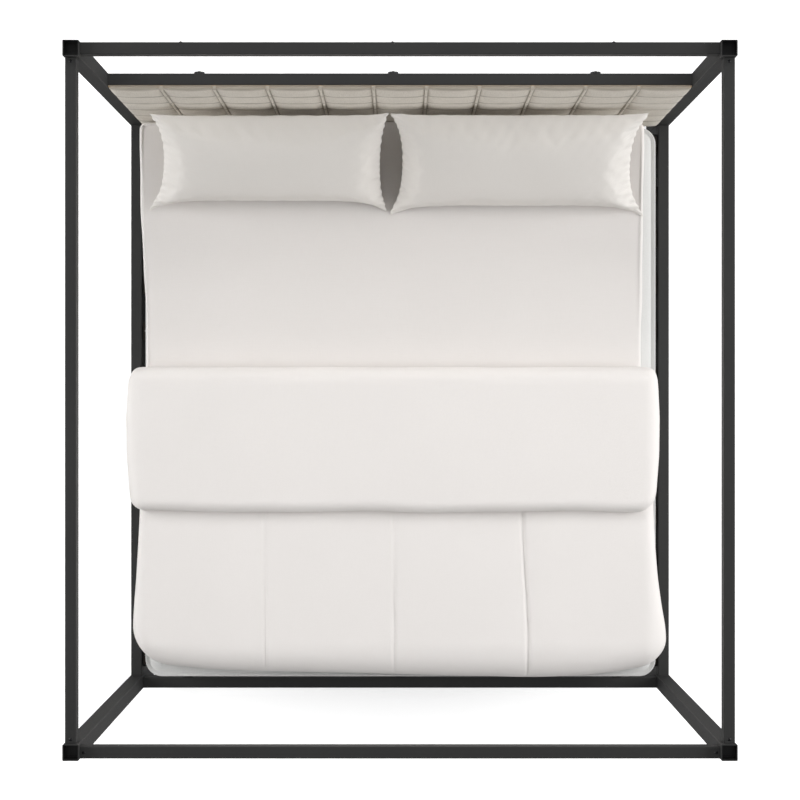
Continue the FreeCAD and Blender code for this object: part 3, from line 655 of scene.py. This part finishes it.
def topper_rings():
    """Rings of a rounded plan: a round edge profile, then smaller copies that close the faces."""
    low, high = topper_low, topper_high
    x, y, out_x, out_y, run = plan_outline(low[:2] + BORDER_INSET, high[:2] - BORDER_INSET, 0.026, 420)
    taper = step(-y, -0.98, -0.12)
    x = x + np.where(x < 0, 0.026, -0.012) * taper
    y = high[1] - (high[1] - y) * TOPPER_SHORTER
    tall = high[2] - low[2]
    turn = np.linspace(-0.5, 0.5, 13) * math.pi
    centre = np.array([(low[0] + high[0]) / 2, (low[1] + high[1]) / 2])
    edge = [(0.014 * (math.cos(a) - 1) + BORDER_INSET, tall / 2 * (1 + math.sin(a))) for a in turn]
    rings = []
    for push, lift in edge:
        wave = 0.0016 * np.sin(run * 9.1) + 0.001 * np.sin(run * 23.3 + 1)
        wave = wave * math.sin(math.pi * lift / tall)
        rings.append(np.stack([x + out_x * (push + wave), y + out_y * (push + wave),
                               np.full_like(x, low[2] + lift)], axis=-1))
    for share in (0.02, 0.05, 0.1, 0.18, 0.3, 0.45, 0.65, 0.85, 0.98):
        for end, lift in ((0, low[2]), (-1, high[2])):
            ring = rings[len(rings) // 2].copy()
            ring[:, :2] = centre + (ring[:, :2] - centre) * (1 - share)
            ring[:, 2] = lift
            rings = [ring] + rings if end == 0 else rings + [ring]
    rings = np.stack(rings)
    top = rings[..., 2] > high[2] - 1e-6
    dip = 0.0022 * uneven(rings[..., 0], rings[..., 1], 0.55, 2.0) - 0.0022
    rings[..., 2] = np.where(top, rings[..., 2] + dip, rings[..., 2])
    return rings


topper = dress(ring_stack("topper_cover", topper_rings()), "topper_cotton", "bedding", "topper")


# %% [markdown]
# ## The duvet
#
# The duvet is one soft bag, sewn into four broad channels, with its head end folded back as a
# fat band. A bag bent along a path is easiest to think of as a middle surface with a thickness:
# the middle runs from the foot towards the head, turns over in a half circle, and runs back on
# top. The cloth lies half a thickness above and below it, and the thickness falls to nothing
# along a quarter circle at every border. The left and right edges wander, so they are short
# tables of places along the bed.

# %% Duvet: edges of the lower layer and of the folded band
HALF = 0.0277                                 # half the thickness of one layer
GAP = 0.0004
FOLD_CENTRE = duvet_high[1] - 0.062
HEM_Y = -0.405                                # where the folded layer ends
body_y = np.array([-1.03, -0.90, -0.84, -0.76, -0.65, -0.50, -0.40, 0.00, 0.13])
body_left = np.array([-0.982, -0.984, -0.986, -0.981, -0.972, -0.963, -0.958, -0.965, -0.978])
body_right = np.array([0.974, 0.984, 0.981, 0.966, 0.950, 0.938, 0.934, 0.934, 0.932])
band_y = np.array([-0.41, -0.34, -0.20, -0.06, 0.06, 0.13])
band_left = np.array([-0.982, -0.991, -1.002, -1.004, -0.997, -0.980])
band_right = np.array([0.926, 0.938, 0.949, 0.951, 0.945, 0.933])
foot_at = np.array([0, 0.08, 0.145, 0.21, 0.30, 0.49, 0.60, 0.745, 0.805, 0.85, 0.905, 0.942, 0.97, 1])
foot_y = np.array([-0.964, -0.979, -0.992, -0.998, -1.002, -1.011, -1.017, -1.0235, -1.021, -1.016, -1.004,
                   -0.988, -0.978, -0.973])
CORNER_LEFT, CORNER_RIGHT = 0.135, 0.095      # radius of the two corners at the foot
SEAMS = (-0.498, -0.024, 0.448)
SEAM_DEEP = (0.21, 0.24, 0.31)                # share of the thickness that each sewn line takes
DUVET_WIDE = 1.95                             # about the width, for the roundness of its corners
LOWER_SHARE, ARC_SHARE = 0.60, 0.68           # where, along the bag, the fold starts and ends


def soft_table(at, places, values):
    """A table read with smooth joins: straight interpolation, then forty rounds in which each
    point takes a quarter of both its neighbours and half of itself."""
    fine = np.linspace(places[0], places[-1], 241)
    read = np.interp(fine, places, values)
    for _ in range(40):
        read[1:-1] = (read[:-2] + 2 * read[1:-1] + read[2:]) / 4
    return np.interp(at, fine, read)


# %% Duvet: the middle surface and its thickness
def channel_dip(x, y):
    """How much of the thickness is left near the sewn lines: a narrow stitched groove in a
    broad shallow valley. The right hand line leans outwards to the foot."""
    left = 1.0
    for k, seam in enumerate(SEAMS):
        lean = 0.022 * step(-y, 0.4, 0.9) if k == 2 else 0.004 * step(-y, 0.4, 0.9)
        away = np.abs(x - seam - lean)
        deep = SEAM_DEEP[k] * (0.45 + 0.55 * step(-y, 0.45, 0.85)) if k < 2 else SEAM_DEEP[k]
        left = left * (1 - deep * np.exp(-(away / 0.006) ** 1.3) - 0.3 * deep * np.exp(-(away / 0.05) ** 2))
    return left


def duvet_layer(across, along):
    """Middle points, outward normals and half thickness for a grid of shares: across runs from
    the left edge to the right edge, and along runs from the foot, round the fold, to the hem."""
    foot = soft_table(across, foot_at, foot_y)
    foot = foot + CORNER_LEFT * (1 - edge_roll(across * DUVET_WIDE, CORNER_LEFT))
    foot = foot + CORNER_RIGHT * (1 - edge_roll((1 - across) * DUVET_WIDE, CORNER_RIGHT))
    low_t = np.clip(along / LOWER_SHARE, 0, 1)
    arc_t = np.clip((along - LOWER_SHARE) / (ARC_SHARE - LOWER_SHARE), 0, 1)
    high_t = np.clip((along - ARC_SHARE) / (1 - ARC_SHARE), 0, 1)
    hem = duvet_hem(across)
    straight_low = foot + (FOLD_CENTRE - foot) * low_t
    straight_high = FOLD_CENTRE + (hem - FOLD_CENTRE) * high_t
    turn = arc_t * math.pi
    radius = HALF + GAP
    y = np.where(arc_t < 1, straight_low + radius * np.sin(turn), straight_high)
    left = np.where(arc_t < 0.5, soft_table(y, body_y, body_left), soft_table(y, band_y, band_left))
    right = np.where(arc_t < 0.5, soft_table(y, body_y, body_right), soft_table(y, band_y, band_right))
    fold_mix = step(arc_t, 0.0, 1.0)
    in_arc = (arc_t > 0) & (arc_t < 1)
    left = np.where(in_arc, (1 - fold_mix) * soft_table(y, body_y, body_left)
                    + fold_mix * soft_table(y, band_y, band_left), left)
    right = np.where(in_arc, (1 - fold_mix) * soft_table(y, body_y, body_right)
                     + fold_mix * soft_table(y, band_y, band_right), right)
    x = left + (right - left) * across
    side = np.minimum(x - left, right - x)
    foot_side, hem_side = y - foot, np.where(arc_t >= 1, y - hem, 1)
    thick = edge_roll(side, 0.05, 2.6) * edge_roll(np.where(arc_t > 0, 1, foot_side), 0.085, 2.3)
    thick = thick * edge_roll(hem_side, 0.042, 2.2)
    dip = np.where(arc_t > 0, 1, channel_dip(x, y))
    half = HALF * thick * dip
    plump = 1 + 0.05 * uneven(x, y + 3 * arc_t, 0.42, 5.0)
    half = half * plump
    rest = HALF * (0.42 + 0.58 * thick)
    low_z = duvet_low[2] + rest
    high_z = duvet_low[2] + 2 * (HALF + GAP) + HALF * (0.35 + 0.65 * thick)
    fold_z = duvet_low[2] + 2 * HALF + GAP
    arc_z = fold_z - radius * np.cos(turn)
    z = np.where(arc_t <= 0, low_z, np.where(arc_t < 1, arc_z - HALF * (1 - thick) * 0.4, high_z))
    droop = 0.024 * step(x, 0.90, 0.99) + 0.02 * step(-x, 0.93, 1.01)
    droop = droop + np.where(arc_t > 0, 0, 0.034 * np.clip((-y - 0.89) / 0.13, 0, 1) ** 1.7)
    z = z - droop
    normal_y, normal_z = np.sin(turn), -np.cos(turn)
    return x, y, z, normal_y, normal_z, half


def duvet_hem(across):
    """Place of the folded hem along the bed: nearly straight, a little wavy, with its two corners
    rounded off."""
    wave = 0.0024 * np.sin(across * 17 + 0.6) + 0.0014 * np.sin(across * 31)
    wave = wave - 0.003 * np.sin(across * math.pi)
    corner = 0.045 * (1 - edge_roll(across, 0.028)) + 0.06 * (1 - edge_roll(1 - across, 0.034))
    return HEM_Y + wave + corner


def duvet_bag():
    """Both faces of the bag: the middle surface plus and minus the half thickness."""
    seam_share = np.interp(SEAMS, [-0.97, 0.95], [0, 1])
    near = np.array([-0.03, -0.018, -0.011, -0.0065, -0.003, 0, 0.003, 0.0065, 0.011, 0.018, 0.03])
    across = np.concatenate([close_at_ends(0, 1, 150, 0.05)] + [s + near for s in seam_share])
    across = np.unique(np.round(across, 5))
    along = np.unique(np.round(np.concatenate([
        0.07 * (1 - np.cos(np.linspace(0, math.pi / 2, 16))), np.linspace(0.07, LOWER_SHARE, 64),
        np.linspace(LOWER_SHARE, ARC_SHARE, 21), np.linspace(ARC_SHARE, 0.96, 40),
        1 - 0.04 * (1 - np.cos(np.linspace(0, math.pi / 2, 14)))]), 5))
    a, b = np.meshgrid(across, along, indexing="ij")
    x, y, z, normal_y, normal_z, half = duvet_layer(a, b)
    outer = np.stack([x, y + normal_y * half, z + normal_z * half], axis=-1)
    inner = np.stack([x, y - normal_y * half, z - normal_z * half], axis=-1)
    print("duvet grid", a.shape, "lowest", outer[..., 2].min(), "highest", outer[..., 2].max())
    return sewn_bag("duvet_folded", inner, outer)


duvet = dress(duvet_bag(), "duvet_cotton", "bedding", "duvet")


# %% [markdown]
# ## The pillows
#
# A pillow is two flat panels of cotton sewn together and stuffed. Its start form is worked out
# by formula: two crowned panels, drawn in along the ends and the front, with small gathers at
# the seams. The cloth solver then blows this bag up by a little pressure with gravity off. Left
# alone it moves points by about 0.1 m, so each point's move is cut to 0.016 m: the start form
# stays, and the solver adds small folds and unevenness. The result is then brought to size,
# leaned against the headboard, and pressed flat where it rests.

# %% Pillows: a crowned bag and the cloth solver
LEAN = math.radians(48)
MOST_MOVE = 0.016                             # how much of the solver's move a point may keep
TOP_REACH = 0.238                             # the upper seam, measured up the slope from the middle


def plump_bag(name, wide, tall, thick, pull, front_pull):
    """Two panels sewn round a rectangle. The ends and the front are drawn in between the corners,
    the seams at both ends are gathered into small waves, and each panel rises from the seam
    along a steep curve to a broad crown."""
    a, b = np.meshgrid(np.sin(np.linspace(-1.25, 1.25, 121)) / math.sin(1.25),
                       np.sin(np.linspace(-1.2, 1.2, 65)) / math.sin(1.2), indexing="ij")
    gather = np.sin(b * tall * 95 + 1.5 * np.sin(b * 7 + len(name)) + np.sign(a))
    drawn_in = np.where(a < 0, pull[0], pull[1]) * (1 - np.abs(b) ** 2.2)
    x = a * (wide / 2 - drawn_in) + np.sign(a) * 0.0022 * gather * np.abs(a) ** 30
    y = b * (tall / 2 - np.where(b < 0, front_pull, 0.008) * (1 - a ** 6))
    crown = thick / 2 * (1 - np.abs(a) ** 3.5) ** 0.72 * (1 - np.abs(b) ** 2.4) ** 0.78
    ruffle = 0.0034 * gather * np.abs(a) ** 16 * (1 - b ** 8)
    crease = ruffle + 0.0022 * uneven(x, y, 0.06, len(name)) * (1 - crown * 2 / thick)
    upper = crown * (1 + 0.03 * uneven(x, y, 0.3, 4)) + crease
    lower = -crown + crease
    return sewn_bag(name, np.stack([x, y, upper], axis=-1), np.stack([x, y, lower], axis=-1))


def read_points(mesh):
    """The points of a mesh as an array with one row for each."""
    points = np.empty(len(mesh.vertices) * 3)
    mesh.vertices.foreach_get("co", points)
    return points.reshape(-1, 3)


def blow_up(thing, pressure, frames):
    """Run the cloth solver on a closed bag and return its points on the last frame."""
    scene = bpy.context.scene
    cloth = thing.modifiers.new("Blow up", "CLOTH")
    settings = cloth.settings
    settings.quality = 5
    settings.mass = 0.2
    settings.tension_stiffness = 30
    settings.compression_stiffness = 30
    settings.shear_stiffness = 12
    settings.bending_stiffness = 0.25
    settings.use_pressure = True
    settings.uniform_pressure_force = pressure
    settings.effector_weights.gravity = 0
    cloth.point_cache.frame_start = 1
    cloth.point_cache.frame_end = frames
    for number in range(1, frames + 1):
        scene.frame_set(number)
    shown = thing.evaluated_get(bpy.context.evaluated_depsgraph_get())
    points = read_points(shown.data)
    thing.modifiers.remove(cloth)
    scene.frame_set(1)
    return points


# %% Pillows: to size, leaned and pressed
def lay_pillow(name, node, tall, pull, front_pull, front_ends, back_ends, rest_z, wall_y):
    """Blow up a bag, keep at most MOST_MOVE of each point's move, scale the bag to its block, draw
    its two ends in to where the front and the back seam stop, turn it by the lean and keep it
    off its supports."""
    low, high = corners(node)
    size = np.array([2.0, tall, 0.150])
    bag = plump_bag(name, high[0] - low[0], tall, 0.125, pull, front_pull)
    points = read_points(bag.data)
    move = blow_up(bag, 5.0, 20) - points
    far = np.linalg.norm(move, axis=1, keepdims=True)
    points = points + move * np.minimum(1, MOST_MOVE / np.maximum(far, 1e-9))
    print(name, "solver moves up to", far.max(), "of which kept", MOST_MOVE)
    reach = points.max(axis=0) - points.min(axis=0)
    print(name, "blown up to", reach)
    points = (points - (points.max(axis=0) + points.min(axis=0)) / 2) * size / reach
    middle = (low + high) / 2
    back = points[:, 1] / tall + 0.5
    points[:, 1] += (TOP_REACH - tall / 2)
    left = front_ends[0] + (back_ends[0] - front_ends[0]) * back
    right = front_ends[1] + (back_ends[1] - front_ends[1]) * back
    x = (left + right) / 2 + points[:, 0] / 2 * (right - left)
    y = middle[1] + points[:, 1] * math.cos(LEAN) - points[:, 2] * math.sin(LEAN)
    z = middle[2] + 0.004 + points[:, 1] * math.sin(LEAN) + points[:, 2] * math.cos(LEAN)
    points = np.stack([x, np.minimum(y, wall_y), np.maximum(z, rest_z)], axis=-1)
    bag.data.vertices.foreach_set("co", points.ravel())
    bag.data.update()
    soft = bag.modifiers.new("Soften", "SUBSURF")
    soft.levels = soft.render_levels = 1
    return bag


pillow_lays = {"left": (0.478, (0.046, 0.024), 0.050, (-0.936, -0.046), (-0.886, -0.038)),
               "right": (0.500, (0.040, 0.052), 0.048, (-0.047, 0.905), (-0.034, 0.880))}
for side, lay in pillow_lays.items():
    pillow = lay_pillow("pillow_" + side + "_stuffed", "pillow_" + side, *lay,
                        topper_high[2] + 0.0015, board_low[1] - 0.006)
    dress(pillow, "pillow_cotton", "pillow_" + side, "pillow_" + side)


# %% [markdown]
# ## Floor, light and camera
#
# The bed stands on a plain white floor under one very large soft light, with pale light from all
# round, as on a studio's white sweep. The camera hangs straight above the middle of the bed and
# looks down. Its lens is long, so the posts spread only a little towards the corners. A round
# pale wall stands far behind, for views from a low angle.

# %% Stage
def glowing_white(name, cloud_size, glow):
    """A white with a faint cloud in it, which also gives off a little light of its own."""
    material, start, place = start_finish(name)
    cloud = start.noise(place, cloud_size, 2.0)
    colour = cloud.blend(linear(250, 250, 250), linear(246, 246, 246))
    end_finish(material, colour, 0.8 + cloud * 0.1, Emission_Color=(1, 1, 1, 1), Emission_Strength=glow)
    return material


def add_floor():
    """One square of four points that only the camera sees, so it throws no light back."""
    side = 14.0
    points = np.array([[-side, -side, 0], [side, -side, 0], [side, side, 0], [-side, side, 0]])
    floor = add_mesh("studio_floor", points, np.array([[0, 1, 2, 3]]))
    floor.data.materials.append(glowing_white("white_floor", 0.8, 0.56))
    floor.visible_diffuse = False
    floor.visible_glossy = False


def add_backdrop():
    """A pale round wall far behind the bed, seen by the camera only, so it changes no light: a
    circle at the floor and the same circle at the wall's top."""
    radius, tall, count = 12, 12, 97
    around = np.linspace(0, 2 * math.pi, count)
    ring = np.stack([radius * np.cos(around), radius * np.sin(around), np.zeros(count)], axis=-1)
    index = np.arange(2 * count).reshape(2, count)
    points = np.stack([ring, ring + (0, 0, tall)])
    backdrop = add_mesh("studio_backdrop", points, grid_quads(index))
    backdrop.data.materials.append(glowing_white("white_backdrop", 0.5, 0.75))
    backdrop.visible_diffuse = False
    backdrop.visible_glossy = False
    backdrop.visible_shadow = False


def add_softbox(name, place, aim, size, power):
    """A square area light that looks from its place to its aim."""
    light = bpy.data.lights.new(name, "AREA")
    light.size = size
    light.energy = power
    lamp = bpy.data.objects.new(name, light)
    lamp.location = place
    direction = np.array(aim) - np.array(place)
    lamp.rotation_euler = (math.atan2(math.hypot(direction[0], direction[1]), -direction[2]), 0,
                           math.atan2(direction[0], -direction[1]) + math.pi)
    lamp.visible_camera = False
    bpy.context.scene.collection.objects.link(lamp)


LIGHTS = (                                    # name, place, aim, width in metres, watts
    ("ceiling_light", (0, 0.6, 9.2), (0, 0, 0), 7.0, 18),
    ("head_light", (0, 6.5, 7.0), (0, 0, 0.6), 3.0, 174),
    ("left_light", (-6.5, 0.8, 3.6), (0, 0, 0.6), 4.0, 335),
    ("right_light", (6.5, 0.8, 3.6), (0, 0, 0.6), 4.0, 430),
    ("foot_light", (0, -7.0, 3.0), (0, 0, 0.9), 4.0, 48))
AIR_STRENGTH = 0.27                           # the pale light from all round
CAMERA_HEIGHT = 8.45                          # metres above the floor
LENS_LENGTH, SENSOR_WIDTH = 95.49, 36         # millimetres
CAMERA_SHIFT = 0.0004                         # share of the view's width, upwards

add_floor()
add_backdrop()
for light_row in LIGHTS:
    add_softbox(*light_row)

world = bpy.data.worlds.new("studio_air")
bpy.context.scene.world = world
world.use_nodes = True
air = world.node_tree.nodes["Background"]
air.inputs["Color"].default_value = (1, 1, 1, 1)
air.inputs["Strength"].default_value = AIR_STRENGTH
bpy.context.scene.view_settings.view_transform = "Standard"

camera_data = bpy.data.cameras.new("camera")
camera_data.sensor_width = SENSOR_WIDTH
camera_data.lens = LENS_LENGTH
camera_data.shift_y = CAMERA_SHIFT
camera_data.clip_end = 60
camera = bpy.data.objects.new("camera", camera_data)
camera.location = (0, 0, CAMERA_HEIGHT)
bpy.context.scene.collection.objects.link(camera)
bpy.context.scene.camera = camera
print("camera at", tuple(camera.location), "lens", camera_data.lens)
